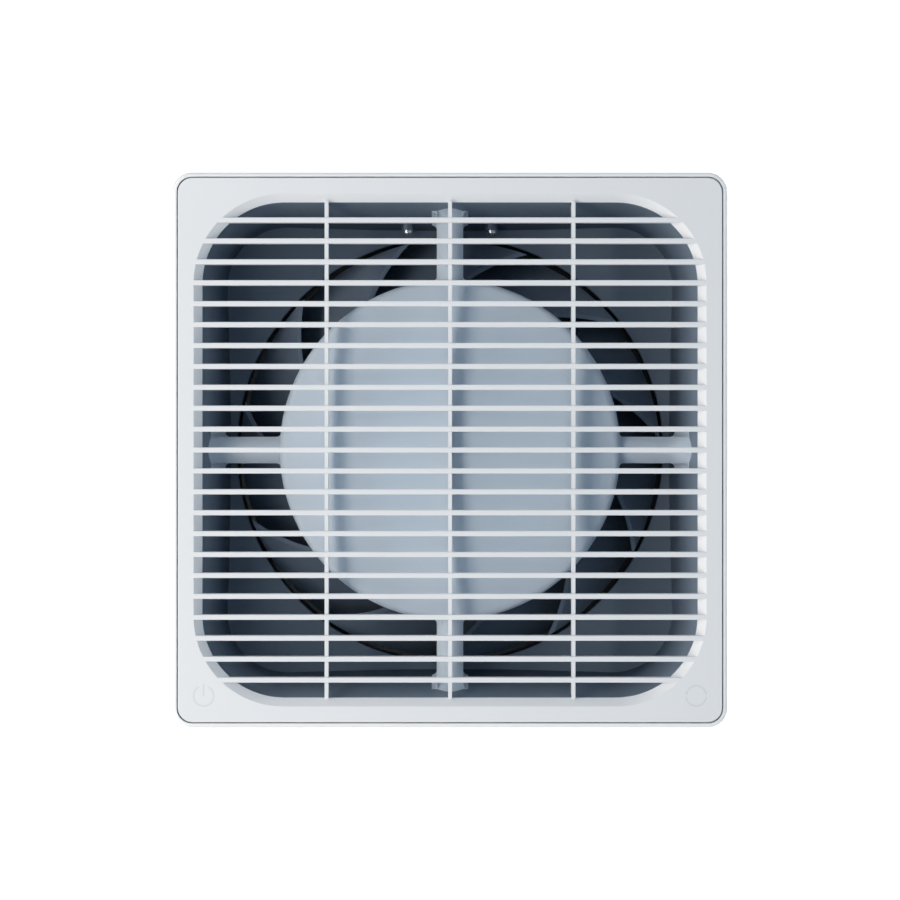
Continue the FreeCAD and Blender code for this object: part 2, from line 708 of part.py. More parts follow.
def bearing_tube():
    tube = ring(TUBE_R, BEARING_R - 1.2, TUBE_FRONT, TUBE_BACK)
    seats = [cylinder(BEARING_R, TUBE_FRONT - 1, TUBE_FRONT + 2 + BEARING_WIDTH)]
    seats.append(cylinder(BEARING_R, TUBE_BACK - BEARING_WIDTH - 1, TUBE_BACK + 1))
    return tube.cut(group(seats))


def bearing(front):
    """Shielded bearing as one ring with a shallow groove at each face."""
    whole = ring(BEARING_R, SHAFT_R + SHAFT_PLAY, front, front + BEARING_WIDTH)
    grooves = [ring(5.3, 3.6, front - 1, front + 0.25)]
    grooves.append(ring(5.3, 3.6, front + BEARING_WIDTH - 0.25, front + BEARING_WIDTH + 1))
    return whole.cut(group(grooves))


def preload_washer():
    return ring(BEARING_R - 0.1, 3.6, TUBE_BACK - BEARING_WIDTH - 1, TUBE_BACK - BEARING_WIDTH - 0.6)


def stator_core():
    core = ring(13.0, TUBE_R, STATOR_FRONT, STATOR_BACK)
    shoe = ring(STATOR_R, STATOR_R - 2.2, STATOR_FRONT, STATOR_BACK)
    teeth = []
    for number in range(TEETH):
        tooth = box(12.0, STATOR_R - 1, STATOR_FRONT, STATOR_BACK, -2.1, 2.1)
        teeth.append(about_axis(tooth, 360 / TEETH * number))
    slots = []
    for number in range(TEETH):
        gap = box(20, 32, STATOR_FRONT - 1, STATOR_BACK + 1, -1.3, 1.3)
        slots.append(about_axis(gap, 360 / TEETH * (number + 0.5)))
    return fused([core, shoe.cut(group(slots))] + teeth)


def stator_windings():
    """One coil round each tooth."""
    coils = []
    for number in range(TEETH):
        coil = box(14.2, 24.6, STATOR_FRONT - 2.4, STATOR_BACK + 2.4, -4.2, 4.2)
        ends = [e for e in coil.Edges if abs(e.BoundBox.XLength - 10.4) < 1e-6]
        coil = coil.makeFillet(1.6, ends)
        coil = coil.cut(box(13, 26, STATOR_FRONT, STATOR_BACK, -2.1, 2.1))
        corners = [(5, -0.4), (30, -9.3), (30, 9.3), (5, 0.4), (5, -0.4)]
        wedge = Part.Face(Part.makePolygon([V(x, 40, z) for x, z in corners]))
        coil = coil.common(wedge.extrude(V(0, 40, 0)))
        coils.append(about_axis(coil, 360 / TEETH * number))
    return group(coils)


def motor_board():
    board = ring(BOARD_R, TUBE_R + 0.4, BOARD_FRONT, BOARD_FRONT + BOARD_THICK)
    holes = [cylinder(1.2, 40, 50, x, z) for x, z in diagonal_places(BOARD_SCREW_R)]
    return board.cut(group(holes))


def motor_board_parts():
    """Driver chip, capacitors, lead socket and position sensors, on the board's front."""
    face = BOARD_FRONT
    chip = box(-22, -15, face - 1.6, face, -3.5, 3.5)
    caps = [cylinder(3.1, face - 7.5, face, 18.5, z) for z in (-4.0, 4.0)]
    socket = box(-4.5, 4.5, face - 5.5, face, -27.5, -21)
    chokes = [box(x - 2, x + 2, face - 2.2, face, 14, 18) for x in (-6.0, 0.0, 6.0)]
    return group([chip, socket] + caps + chokes)


def motor_board_screws():
    one = screw(2.0, 1.4, 0.95, 5.5)
    seat = BOARD_FRONT + BOARD_THICK
    return group([aimed(one, (x, seat, z), (0, -1, 0)) for x, z in diagonal_places(BOARD_SCREW_R)])


def motor_shaft():
    shaft = cylinder(SHAFT_R, TUBE_FRONT - 1.0, CUP_BACK + 3)
    shaft = shaft.makeChamfer(0.4, edges_at_depth(shaft, TUBE_FRONT - 1.0))
    groove = ring(4, SHAFT_R - 0.4, TUBE_FRONT + 0.6, TUBE_FRONT + 1.3)
    return shaft.cut(groove)


def shaft_clip():
    return ring(4.4, SHAFT_R - 0.4, TUBE_FRONT + 0.65, TUBE_FRONT + 1.25)


def rotor_cup():
    hollow = cylinder(CUP_R - CUP_WALL, CUP_FRONT - 1, CUP_BACK - CUP_WALL)
    cup = cylinder(CUP_R, CUP_FRONT, CUP_BACK).cut(hollow)
    cup = cup.fuse(cylinder(7.0, TUBE_BACK + 1.2, CUP_BACK + 1))
    holes = [cylinder(SHAFT_R, 60, 80)]
    holes += [cylinder(1.25, CUP_BACK - 4, CUP_BACK + 1, x, z) for x, z in rotor_screw_places()]
    return cup.cut(group(holes)).removeSplitter()


def rotor_screw_places():
    angles = [math.radians(90 + 120 * n) for n in range(3)]
    return [(ROTOR_SCREW_R * math.cos(a), ROTOR_SCREW_R * math.sin(a)) for a in angles]


def rotor_magnet():
    inner = STATOR_R + AIR_GAP
    return ring(CUP_R - CUP_WALL, inner, STATOR_FRONT - 2, STATOR_BACK + 2)


def rotor_screws():
    one = screw(2.8, 1.8, 1.2, 5.0)
    return group([aimed(one, (x, CUP_BACK + 2.6, z), (0, -1, 0)) for x, z in rotor_screw_places()])


# Impeller

def blade_point(radius, chord, side):
    """Point on one face of a blade: chord runs from the front edge, 0, to the back edge, 1."""
    inward = (radius - HUB_R) / (TIP_R - HUB_R)
    wrap = math.radians(BLADE_WRAP_HUB + inward * (BLADE_WRAP_TIP - BLADE_WRAP_HUB))
    angle = math.radians(BLADE_SWEEP * (TIP_R - radius))
    long = BLADE_BACK - BLADE_FRONT
    angle += wrap * (chord + BLADE_CAMBER * chord * (1 - chord))
    depth = BLADE_FRONT + long * chord
    across = radius * wrap * (1 + BLADE_CAMBER * (1 - 2 * chord))
    length = math.hypot(across, long)
    offset = side * BLADE_THICK / 2
    angle += offset * long / length / radius
    depth -= offset * across / length
    return V(radius * math.cos(angle), depth, radius * math.sin(angle))


def blade():
    """One blade, from inside the hub's wall to just past the tip circle."""
    radii = [HUB_R - 1.4 + (TIP_R + 2.4 - HUB_R) * n / 6 for n in range(7)]
    chords = [BLADE_RUN_IN + (1 - BLADE_RUN_IN) * n / 8 for n in range(9)]
    faces, surfaces = [], []
    for side in (-1, 1):
        surface = Part.BSplineSurface()
        surface.interpolate([[blade_point(r, c, side) for c in chords] for r in radii])
        surfaces.append(surface)
        faces.append(surface.toShape())
    low, high = surfaces
    u0, u1, v0, v1 = low.bounds()
    for pick in (lambda s: s.uIso(u0), lambda s: s.uIso(u1), lambda s: s.vIso(v0), lambda s: s.vIso(v1)):
        faces.append(Part.makeRuledSurface(pick(low).toShape(), pick(high).toShape()))
    shell = Part.makeShell(faces)
    shell.sewShape()
    solid = Part.makeSolid(shell)
    if solid.Volume < 0:
        solid.reverse()
    return solid.common(cylinder(TIP_R, BLADE_FRONT, 100))


def impeller():
    wall = ring(HUB_R, HUB_R - HUB_WALL, HUB_FRONT, HUB_BACK)
    back = turned([
        (0, CUP_BACK + 0.1),
        (CUP_R + 3, CUP_BACK + 0.1),
        (HUB_R - 1, HUB_BACK - 4),
        (HUB_R - 1, HUB_BACK - 1),
        (CUP_R + 2, CUP_BACK + 2.6),
        (0, CUP_BACK + 2.6),
    ])
    socket = ring(CUP_R + 2.6, CUP_R + 0.05, CUP_FRONT + 6, CUP_BACK + 1)
    ribs = []
    for number in range(6):
        rib = box(CUP_R + 1.5, HUB_R - 1, CUP_FRONT + 10, HUB_BACK - 3, -0.9, 0.9)
        rib = rib.common(turned([
            (0, 50), (HUB_R, 50), (HUB_R, HUB_BACK - 2), (CUP_R + 3, CUP_BACK + 1), (0, CUP_BACK + 1)]))
        ribs.append(about_axis(rib, 60 * number))
    hub = fused([wall, back, socket] + ribs)
    holes = [cylinder(SHAFT_R + 4.8, CUP_BACK - 1, CUP_BACK + 4)]
    holes += [cylinder(1.5, CUP_BACK - 1, CUP_BACK + 4, x, z) for x, z in rotor_screw_places()]
    hub = hub.cut(group(holes))
    first = blade()
    blades = [about_axis(first, BLADE_START + 360 / BLADES * n) for n in range(BLADES)]
    return fused([hub] + blades)


# Leads and boards

def motor_lead():
    """From the motor board's socket, along the hollow bottom arm and back to the control board."""
    return lead([
        (0, LEAD_DEPTH + 3, -27.5),
        (0, LEAD_DEPTH, -42),
        (0, LEAD_DEPTH, -116),
        (-14, 54, -117),
        (-43.5, 68, -118),
    ], 1.6)


def power_lead():
    """From the socket's back to the power board."""
    return lead([
        (SOCKET_X, DEPTH - SOCKET_DEEP - 3.4, SOCKET_Z),
        (SOCKET_X, 96, SOCKET_Z),
        (84, 93, -118.3),
        (84, 84, -118.3),
    ], 1.8)


def circuit_board(x0, x1, y0, y1):
    board = box(x0, x1, y0, y1, PCB_Z, PCB_Z + PCB_THICK)
    places = board_screw_places((x0, x1, y0, y1))
    holes = [aimed(cylinder(1.3, 0, 4), (x, y, PCB_Z - 1), (0, 0, 1)) for x, y in places]
    return board.cut(group(holes))


def board_screw_places(area):
    x0, x1, y0, y1 = area
    return [(x, y) for x in (x0 + 4, x1 - 4) for y in (y0 + 4, y1 - 4)]


def board_standoffs():
    """Posts under both boards, standing on the casing's floor."""
    posts = []
    for area in (CONTROL_BOARD, POWER_BOARD):
        for x, y in board_screw_places(area):
            post = cylinder(2.6, 0, PCB_Z + HALF - WALL).cut(cylinder(1.0, 0.6, 9))
            posts.append(aimed(post, (x, y, -HALF + WALL), (0, 0, 1)))
    return group(posts)


def board_screws():
    one = screw(2.2, 1.4, 0.95, 5.0)
    top = PCB_Z + PCB_THICK
    places = board_screw_places(CONTROL_BOARD) + board_screw_places(POWER_BOARD)
    return group([aimed(one, (x, y, top), (0, 0, -1)) for x, y in places])


def on_board(x0, x1, y0, y1, high):
    top = PCB_Z + PCB_THICK
    return box(x0, x1, y0, y1, top, top + high)


def control_board_parts():
    """Controller, lead sockets and small capacitors."""
    chip = on_board(-84, -74, 64, 74, 1.4)
    sockets = [on_board(-52, -44.5, 62, 74, 5.6), on_board(-96, -88, 74, 82, 5.6)]
    top = PCB_Z + PCB_THICK
    caps = [aimed(cylinder(2.6, 0, 8), (x, 60, top), (0, 0, 1)) for x in (-90.0, -82.0, -74.0)]
    return group([chip] + sockets + caps)


def power_board_parts():
    """Capacitors, bridge, fuse and lead sockets."""
    top = PCB_Z + PCB_THICK
    big = aimed(cylinder(6.5, 0, 20), (92, 64, top), (0, 0, 1))
    big = big.makeFillet(0.8, [e for e in big.Edges if abs(e.BoundBox.ZMin - top - 20) < 1e-6])
    small = [aimed(cylinder(3.5, 0, 11), (x, 78, top), (0, 0, 1)) for x in (52.0, 61.0)]
    bridge = on_board(80, 84, 56, 70, 9)
    socket = on_board(80, 88, 77, 84, 5.6)
    return group([big, bridge, socket] + small)


def transformer():
    """Core and bobbin of the supply's transformer."""
    core = on_board(52, 74, 55, 71, 15.5)
    window = on_board(56, 70, 50, 75, 11.5).cut(on_board(60, 66, 50, 75, 30))
    return group([core.cut(window), winding_block()])


def winding_block():
    block = on_board(56.2, 69.8, 53.6, 72.4, 11.3)
    return block.cut(on_board(59.8, 66.2, 50, 75, 30))


# Power inlet

def lobes(radius, front, back):
    """Figure-of-eight prism about the socket's axis."""
    parts = [cylinder(radius, front, back, SOCKET_X + s * SOCKET_LOBE, SOCKET_Z) for s in (-1, 1)]
    middle = box(SOCKET_X - SOCKET_LOBE, SOCKET_X + SOCKET_LOBE, front, back,
                 SOCKET_Z - 0.93 * radius, SOCKET_Z + 0.93 * radius)
    return fused(parts + [middle])


def power_inlet():
    wide, high = SOCKET_BODY
    face_wide, face_high = SOCKET_FACE
    back = DEPTH - 0.4
    front = back - SOCKET_DEEP - 3
    body = box(SOCKET_X - wide / 2, SOCKET_X + wide / 2, front, back,
               SOCKET_Z - high / 2, SOCKET_Z + high / 2)
    plate = box(SOCKET_X - face_wide / 2, SOCKET_X + face_wide / 2, back - 1.2, back,
                SOCKET_Z - face_high / 2, SOCKET_Z + face_high / 2)
    plate = plate.makeFillet(2.0, [e for e in plate.Edges if abs(e.BoundBox.YLength - 1.2) < 1e-6])
    body = fused([body, plate]).cut(lobes(SOCKET_LOBE_R, back - SOCKET_DEEP, back + 1))
    holes = [cylinder(SOCKET_PIN_R, 90, DEPTH, SOCKET_X + s * SOCKET_LOBE, SOCKET_Z) for s in (-1, 1)]
    return body.cut(group(holes))


def inlet_pins():
    back = DEPTH - 0.4 - SOCKET_DEEP + SOCKET_PIN_LONG
    pins = []
    for side in (-1, 1):
        pin = cylinder(SOCKET_PIN_R, DEPTH - 20, back, SOCKET_X + side * SOCKET_LOBE, SOCKET_Z)
        pins.append(pin.makeFillet(0.6, edges_at_depth(pin, back)))
    return group(pins)


# Back cover and guard

def rear_cover():
    front = SHELL_END + REVEAL
    outside = square_prism(HALF, CORNER_R, front, DEPTH)
    outside = outside.makeFillet(COVER_EDGE, edges_at_depth(outside, DEPTH))
    plate_front = DEPTH - COVER_PLATE
    outside = outside.cut(square_prism(HALF - 2.4, CORNER_R - 2.4, front - 1, plate_front))
    outer = HALF - WALL - 0.35
    tongue = square_prism(outer, CORNER_R - WALL - 0.35, front - 3, plate_front + 0.5)
    tongue = tongue.cut(square_prism(outer - 1.6, CORNER_R - WALL - 1.9, front - 4, plate_front + 1))
    solids = [outside, tongue]
    for x, z in diagonal_places(GUARD_SCREW_R):
        solids.append(cylinder(3.2, 109, plate_front + 0.5, x, z))
    for x, z in shell_boss_positions():
        solids.append(cylinder(4.4, SHELL_BOSS_END + 0.3, plate_front + 0.5, x, z))
    cover = fused(solids)
    cuts = [cylinder(INLET_R, 100, 130), cylinder(GUARD_R + 0.3, DEPTH - GUARD_THICK, 130)]
    cuts += [cylinder(1.05, 110, 125, x, z) for x, z in diagonal_places(GUARD_SCREW_R)]
    for x, z in shell_boss_positions():
        cuts.append(cylinder(1.6, 100, 125, x, z))
        cuts.append(cylinder(3.4, DEPTH - 5, 125, x, z))
    cuts += [socket_cutout()]
    return cover.cut(group(cuts))


def socket_cutout():
    wide, high = SOCKET_BODY
    face_wide, face_high = SOCKET_FACE
    body = box(SOCKET_X - wide / 2 - 0.1, SOCKET_X + wide / 2 + 0.1, 100, 125,
               SOCKET_Z - high / 2 - 0.1, SOCKET_Z + high / 2 + 0.1)
    face = box(SOCKET_X - face_wide / 2 - 0.2, SOCKET_X + face_wide / 2 + 0.2, DEPTH - 1.6, 125,
               SOCKET_Z - face_high / 2 - 0.2, SOCKET_Z + face_high / 2 + 0.2)
    return body.fuse(face)


def rear_guard():
    front, back = DEPTH - GUARD_THICK, DEPTH - 0.2
    solids = [ring(GUARD_R, INLET_R - 1.5, front, back), cylinder(GUARD_HUB_R, front - 0.6, back)]
    radius = GUARD_HUB_R + GUARD_PITCH
    while radius < INLET_R - 4:
        solids.append(ring(radius + GUARD_BAR / 2, radius - GUARD_BAR / 2, front - 0.6, back))
        radius += GUARD_PITCH
    for number in range(GUARD_RIBS):
        rib = box(GUARD_HUB_R - 2, INLET_R, front - 1.4, back - 0.5, -1.1, 1.1)
        rib = rib.common(cylinder(INLET_R - 0.3, 100, 130).fuse(cylinder(GUARD_R, front, 130)))
        solids.append(about_axis(rib, 360 / GUARD_RIBS * number))
    guard = fused(solids)
    cuts = []
    for x, z in diagonal_places(GUARD_SCREW_R):
        cuts.append(cylinder(1.4, 100, 125, x, z))
        cuts.append(cylinder(2.5, DEPTH - 1.1, 125, x, z))
    return guard.cut(group(cuts))


def guard_screws():
    one = screw(2.3, 0.85, 1.0, 7.0)
    return group([aimed(one, (x, DEPTH - 1.1, z), (0, -1, 0)) for x, z in diagonal_places(GUARD_SCREW_R)])


def cover_screws():
    one = screw(3.0, 2.2, 1.2, 18.0)
    return group([aimed(one, (x, DEPTH - 5, z), (0, -1, 0)) for x, z in shell_boss_positions()])


NODES = {
    "outer_shell": outer_shell,
    "feet": feet,
    "front_grille": front_grille,
    "power_symbol": power_symbol,
    "mode_symbol": mode_symbol,
    "touch_springs": touch_springs,
    "touch_board_left": lambda: touch_board(-1),
    "touch_board_right": lambda: touch_board(1),
    "grille_screws": grille_screws,
    "duct_gasket": duct_gasket,
    "air_duct": air_duct,
    "duct_screws": duct_screws,
    "fan_shroud": fan_shroud,
    "shroud_screws": shroud_screws,
    "inlet_ring": inlet_ring,
    "motor_bracket": motor_bracket,
    "arm_screws": arm_screws,
    "bearing_tube": bearing_tube,
    "front_bearing": lambda: bearing(TUBE_FRONT + 2),
    "rear_bearing": lambda: bearing(TUBE_BACK - BEARING_WIDTH - 0.5),
    "preload_washer": preload_washer,
    "stator_core": stator_core,
    "stator_windings": stator_windings,
    "motor_board": motor_board,
    "motor_board_parts": motor_board_parts,
    "motor_board_screws": motor_board_screws,
    "motor_shaft": motor_shaft,
    "shaft_clip": shaft_clip,
    "rotor_cup": rotor_cup,
    "rotor_magnet": rotor_magnet,
    "rotor_screws": rotor_screws,
    "impeller": impeller,
    "motor_lead": motor_lead,
    "control_board": lambda: circuit_board(*CONTROL_BOARD),
    "control_board_parts": control_board_parts,
    "power_board": lambda: circuit_board(*POWER_BOARD),
    "power_board_parts": power_board_parts,
    "transformer": transformer,
    "board_standoffs": board_standoffs,
    "board_screws": board_screws,
    "power_lead": power_lead,
    "power_inlet": power_inlet,
    "inlet_pins": inlet_pins,
    "rear_cover": rear_cover,
    "rear_guard": rear_guard,
    "guard_screws": guard_screws,
    "cover_screws": cover_screws,
}


def main():
    os.makedirs("parts", exist_ok=True)
    for name, make in NODES.items():
        shape = make()
        shape.translate(V(0, -DEPTH / 2, AXIS_HEIGHT))
        shape.exportStep(f"parts/{name}.step")
        print(name, "solids", len(shape.Solids), "valid", shape.isValid(), "volume", round(shape.Volume))


main()
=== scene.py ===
"""Looks of a compact box fan: moulded plastics, metals and boards, a pale studio and a square-on camera."""

import json
import math

import bpy
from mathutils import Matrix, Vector


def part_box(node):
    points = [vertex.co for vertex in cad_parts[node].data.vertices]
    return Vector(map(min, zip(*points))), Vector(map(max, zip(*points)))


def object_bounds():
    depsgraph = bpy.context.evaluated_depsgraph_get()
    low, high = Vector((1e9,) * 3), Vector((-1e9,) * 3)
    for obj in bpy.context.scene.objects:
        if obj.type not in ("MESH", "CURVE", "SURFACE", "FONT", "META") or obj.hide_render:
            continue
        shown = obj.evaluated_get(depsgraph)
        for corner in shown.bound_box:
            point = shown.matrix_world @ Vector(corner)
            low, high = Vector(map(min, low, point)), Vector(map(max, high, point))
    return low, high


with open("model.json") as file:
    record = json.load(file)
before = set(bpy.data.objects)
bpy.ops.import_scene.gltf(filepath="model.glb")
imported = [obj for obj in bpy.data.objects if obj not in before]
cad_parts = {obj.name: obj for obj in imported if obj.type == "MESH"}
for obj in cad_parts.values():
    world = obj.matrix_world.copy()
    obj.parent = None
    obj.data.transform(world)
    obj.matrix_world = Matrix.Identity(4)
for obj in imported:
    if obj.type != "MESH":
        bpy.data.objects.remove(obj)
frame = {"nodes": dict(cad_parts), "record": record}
cad_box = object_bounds()

FRONT = cad_box[0][1]
AXIS_HEIGHT = sum(corner[2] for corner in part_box("front_grille")) / 2

CAMERA_DISTANCE = 1.30
VIEW_WIDTH = 0.4216
SENSOR = 36.0


# Shader helpers

def add_node(tree, kind, **values):
    node = tree.nodes.new(kind)
    for key, value in values.items():
        setattr(node, key, value)
    return node


def fill(node, **inputs):
    """Sets the node's inputs. An underscore in a keyword stands for a space in the input's name."""
    for key, value in inputs.items():
        node.inputs[key.replace("_", " ")].default_value = value


class Shader:
    """A material's node tree, with short calls for the nodes that the finishes share."""

    def __init__(self, name):
        self.material = bpy.data.materials.new(name)
        self.material.use_nodes = True
        self.tree = self.material.node_tree
        self.surface = self.tree.nodes["Principled BSDF"]
        self.place = self.add("ShaderNodeTexCoord").outputs["Object"]

    def add(self, kind, **values):
        return add_node(self.tree, kind, **values)

    def join(self, source, target):
        self.tree.links.new(source, target)

    def noise(self, scale, detail=3.0, roughness=0.5, stretch=None):
        """Noise over the object's own metres, from 0 to 1, with scale in cycles a metre."""
        node = self.add("ShaderNodeTexNoise")
        fill(node, Scale=scale, Detail=detail, Roughness=roughness)
        source = self.place
        if stretch:
            mapping = self.add("ShaderNodeMapping")
            mapping.inputs["Scale"].default_value = stretch
            self.join(source, mapping.inputs["Vector"])
            source = mapping.outputs["Vector"]
        self.join(source, node.inputs["Vector"])
        return node.outputs["Fac"]

    def spread(self, source, low, high, start=0.0, end=1.0):
        """source taken from start..end to low..high, held at both ends."""
        node = self.add("ShaderNodeMapRange", clamp=True)
        fill(node, From_Min=start, From_Max=end, To_Min=low, To_Max=high)
        self.join(source, node.inputs["Value"])
        return node.outputs["Result"]

    def mixed(self, share, first, second):
        """Colour from first to second as share goes from 0 to 1. Either may be a colour or an output."""
        node = self.add("ShaderNodeMix", data_type="RGBA")
        self.join(share, node.inputs["Factor"])
        for value, socket in ((first, node.inputs["A"]), (second, node.inputs["B"])):
            if isinstance(value, (tuple, list)):
                socket.default_value = (*value[:3], 1.0)
            else:
                self.join(value, socket)
        return node.outputs["Result"]

    def multiplied(self, first, second):
        node = self.add("ShaderNodeMath", operation="MULTIPLY")
        self.join(first, node.inputs[0])
        self.join(second, node.inputs[1])
        return node.outputs["Value"]

    def depth_axis(self, vector):
        """The part of a vector along the fan's axis, towards the back."""
        node = self.add("ShaderNodeSeparateXYZ")
        self.join(vector, node.inputs[0])
        return node.outputs["Y"]

    def edges(self, radius):
        """About 0 on flat surfaces, rising to 1 on edges sharper than the radius, in metres."""
        bevel = self.add("ShaderNodeBevel", samples=4)
        bevel.inputs["Radius"].default_value = radius
        geometry = self.add("ShaderNodeNewGeometry")
        dot = self.add("ShaderNodeVectorMath", operation="DOT_PRODUCT")
        self.join(bevel.outputs["Normal"], dot.inputs[0])
        self.join(geometry.outputs["Normal"], dot.inputs[1])
        return self.spread(dot.outputs["Value"], 1.0, 0.0, 0.80, 0.98)

    def bumps(self, layers):
        """Stacks bump layers of (height source, height in metres)."""
        normal = None
        for source, height in layers:
            bump = self.add("ShaderNodeBump")
            fill(bump, Distance=height, Strength=1.0)
            self.join(source, bump.inputs["Height"])
            if normal:
                self.join(normal, bump.inputs["Normal"])
            normal = bump.outputs["Normal"]
        self.join(normal, self.surface.inputs["Normal"])


EDGE_RADIUS = 0.0006
EDGE_FADE = 0.35
PLASTIC_IOR = 1.48


def tinted(colour, factor):
    return tuple(min(1.0, channel * factor) for channel in colour)


def faded(colour, share):
    """Colour taken towards white by the share."""
    return tuple(channel + (1 - channel) * share for channel in colour)


# No layers of painted light or shade.
def no_painted_shading(shader):
    return []


def moulded(name, colour, roughness, grain=0.00035, depth=0.000012, wear=0.35, mottle=0.03,
            gloss=0.5, painted_shading=no_painted_shading):
    """Moulded plastic: fine spark-eroded grain, faint flow marks, slightly polished and paler edges.

    The last argument, called with the shader, lists further (share, colour) layers of painted light and
    shade over the main colour.
    """
    shader = Shader(name)
    broad = shader.noise(14.0, 2.0)
    cloud = shader.noise(90.0, 4.0)
    fine = shader.noise(1.0 / grain, 2.0, 0.6)
    base = shader.mixed(broad, tinted(colour, 1 - mottle), tinted(colour, 1 + mottle))
    base = shader.mixed(shader.spread(cloud, 0.0, 0.25, 0.45, 0.75), base, tinted(colour, 1 - 2 * mottle))
    # Layers of painted light and shade, if any.
    for share, other in painted_shading(shader):
        base = shader.mixed(share, base, other)
    if wear:
        edge = shader.spread(shader.edges(EDGE_RADIUS), 0.0, wear)
        base = shader.mixed(edge, base, faded(colour, EDGE_FADE))
    shader.join(base, shader.surface.inputs["Base Color"])
    rough = shader.spread(cloud, roughness - 0.05, roughness + 0.05, 0.3, 0.7)
    shader.join(rough, shader.surface.inputs["Roughness"])
    fill(shader.surface, IOR=PLASTIC_IOR, Specular_IOR_Level=gloss)
    shader.bumps([(broad, 0.00012), (fine, depth)])
    return shader.material


def metal(name, colour, roughness, stretch=(1.0, 1.0, 1.0), scale=900.0):
    """Machined or plated metal: drawn scratches, smudges and a little tarnish."""
    shader = Shader(name)
    scratch = shader.noise(scale, 5.0, 0.7, stretch)
    smudge = shader.noise(120.0, 4.0)
    base = shader.mixed(shader.spread(smudge, 0.0, 0.6, 0.35, 0.75), colour, tinted(colour, 0.82))
    shader.join(base, shader.surface.inputs["Base Color"])
    shader.join(shader.spread(scratch, roughness - 0.08, roughness + 0.12, 0.3, 0.7),
                shader.surface.inputs["Roughness"])
    shader.surface.inputs["Metallic"].default_value = 1.0
    shader.bumps([(scratch, 0.000008)])
    return shader.material


def rubber(name, colour, roughness=0.75):
    """Soft rubber or cable sleeve: matte, faintly mottled, with a fine grain."""
    shader = Shader(name)
    cloud = shader.noise(160.0, 5.0)
    fine = shader.noise(3500.0, 2.0)
    base = shader.mixed(shader.spread(cloud, 0.0, 1.0, 0.35, 0.7), colour, tinted(colour, 1.35))
    shader.join(base, shader.surface.inputs["Base Color"])
    shader.join(shader.spread(cloud, roughness - 0.08, roughness + 0.08, 0.3, 0.7),
                shader.surface.inputs["Roughness"])
    shader.bumps([(fine, 0.00003)])
    return shader.material


def foam(name, colour):
    """Closed-cell foam: small open pores."""
    shader = Shader(name)
    cells = shader.add("ShaderNodeTexVoronoi")
    cells.inputs["Scale"].default_value = 1800.0
    shader.join(shader.place, cells.inputs["Vector"])
    pores = cells.outputs["Distance"]
    base = shader.mixed(shader.spread(pores, 0.0, 1.0, 0.1, 0.6), tinted(colour, 0.5), tinted(colour, 1.5))
    shader.join(base, shader.surface.inputs["Base Color"])
    shader.surface.inputs["Roughness"].default_value = 0.95
    shader.bumps([(pores, 0.00015)])
    return shader.material


def circuit(name, colour):
    """Solder mask over copper: faint tracks under a glossy green film."""
    shader = Shader(name)
    tracks = shader.add("ShaderNodeTexBrick")
    fill(tracks, Scale=160.0, Mortar_Size=0.03, Color1=(*colour, 1), Color2=(*tinted(colour, 0.8), 1),
         Mortar=(*tinted(colour, 1.7), 1))
    shader.join(shader.place, tracks.inputs["Vector"])
    cloud = shader.noise(200.0, 3.0)
    base = shader.mixed(shader.spread(cloud, 0.0, 0.4), tracks.outputs["Color"], tinted(colour, 0.7))
    shader.join(base, shader.surface.inputs["Base Color"])
    shader.join(shader.spread(cloud, 0.2, 0.35), shader.surface.inputs["Roughness"])
    shader.bumps([(tracks.outputs["Fac"], 0.00003)])
    return shader.material


def windings(name, colour):
    """Enamelled wire laid in close turns."""
    shader = Shader(name)
    turns = shader.add("ShaderNodeTexWave", wave_type="RINGS", rings_direction="Y")
    fill(turns, Scale=420.0, Distortion=0.4)
    shader.join(shader.place, turns.inputs["Vector"])
    lines = turns.outputs["Fac"]
    base = shader.mixed(lines, tinted(colour, 0.45), colour)
    shader.join(base, shader.surface.inputs["Base Color"])
    shader.join(shader.spread(lines, 0.45, 0.25), shader.surface.inputs["Roughness"])
    shader.surface.inputs["Metallic"].default_value = 0.85
    shader.bumps([(lines, 0.0001)])
    return shader.material


# Finishes

PANEL = (0.795, 0.805, 0.825)
SHELL = (0.860, 0.865, 0.870)
BRACKET = (0.570, 0.650, 0.735)
DUCT = (0.074, 0.105, 0.148)
# Painted light: a paler duct colour near the lip, standing in for the light that reaches the front of the
# walls.
DUCT_LIP_PAINTED_LIGHT = (0.215, 0.270, 0.345)
# Painted shade: a darker colour at the foot of the walls, standing in for the shade in the crease by the
# plate.
DUCT_FOOT_PAINTED_SHADE = (0.036, 0.054, 0.082)
IMPELLER = (0.125, 0.165, 0.225)
# Black plastic of the shroud, taken near to zero as painted shade for the dark gap round the blade tips.
SHROUD_BLACK_AND_PAINTED_SHADE = (0.004, 0.007, 0.012)

# Depths behind the front where the painted light at the lip fades out, and where the painted shade at the
# foot begins and is full.
DUCT_LIP_LIGHT_ENDS = (0.012, 0.032)
DUCT_FOOT_SHADE_STARTS = (0.027, 0.038)


def duct_painted_light_and_shade(shader):
    """Painted light and shade down the duct's walls: painted light makes them pale at the lip behind the
    panel, and painted shade makes them darkest at the foot.
    """
    depth = shader.depth_axis(shader.place)
    facing = shader.depth_axis(shader.add("ShaderNodeNewGeometry").outputs["Normal"])
    wall = shader.spread(facing, 0.0, 1.0, -0.9, -0.5)
    # Painted shade on the walls, growing towards their foot.
    low = shader.spread(depth, 0.0, 1.0, *(FRONT + far for far in DUCT_FOOT_SHADE_STARTS))
    # Painted light near the lip, fading with depth.
    lip = shader.spread(depth, 1.0, 0.0, *(FRONT + far for far in DUCT_LIP_LIGHT_ENDS))
    return [(shader.multiplied(wall, low), DUCT_FOOT_PAINTED_SHADE), (lip, DUCT_LIP_PAINTED_LIGHT)]


